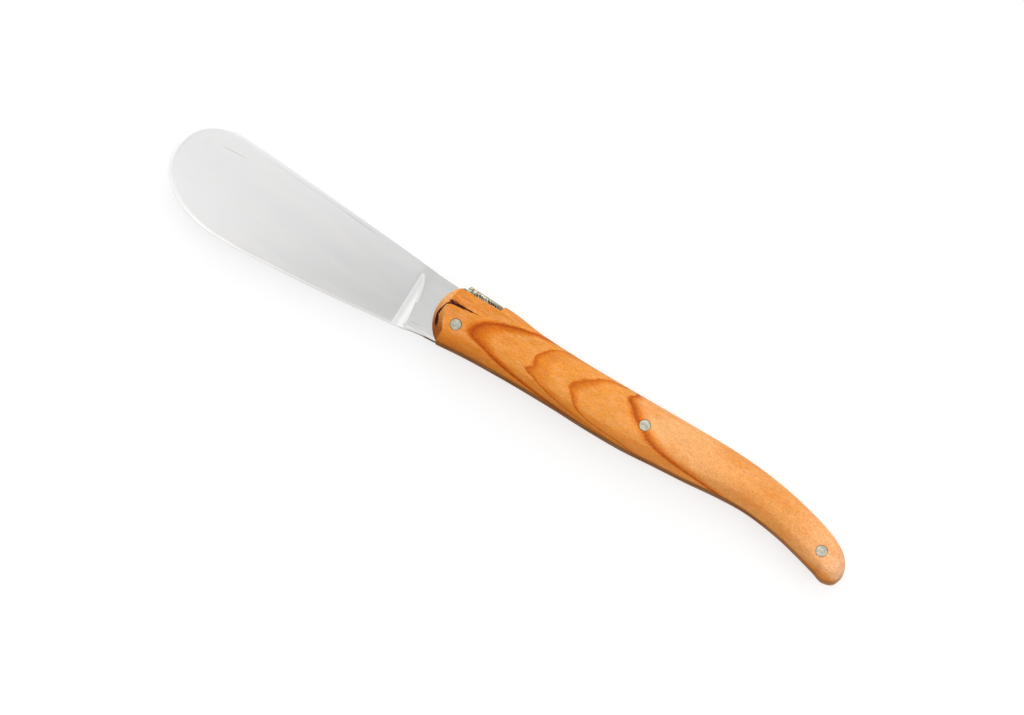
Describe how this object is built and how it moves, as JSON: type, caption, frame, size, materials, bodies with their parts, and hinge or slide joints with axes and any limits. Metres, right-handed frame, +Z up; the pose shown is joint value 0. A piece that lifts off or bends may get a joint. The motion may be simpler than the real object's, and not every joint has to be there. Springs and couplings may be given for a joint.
{
  "type": "butter knife",
  "caption": "Butter spreader with a broad round-tipped steel blade on a full tang, pinned between curved bevelled wooden scales, with a small metal ornament on its back.",
  "frame": {"origin": "the middle of the knife's length and width, on the flat face of the lower scale, which the knife rests on", "axes": "+X from the blade's tip to the handle's tail, +Y from the edge towards the back, +Z up out of the upper scale's face"},
  "size_m": [0.1793, 0.0232, 0.0115],
  "materials": {
    "blade_steel": "fine satin polish with a bright rim",
    "ornament_metal": "polished with dark chased lines",
    "scale_wood": "oiled, smooth, with figured grain",
    "pin_metal": "filed flush, lightly scratched"
  },
  "bodies": {
    "root": {"blade_and_tang": "blade_steel", "spine_ornament": "ornament_metal", "upper_scale": "scale_wood", "lower_scale": "scale_wood", "head_pin": "pin_metal", "middle_pin": "pin_metal", "tail_pin": "pin_metal"}
  },
  "joints": []
}
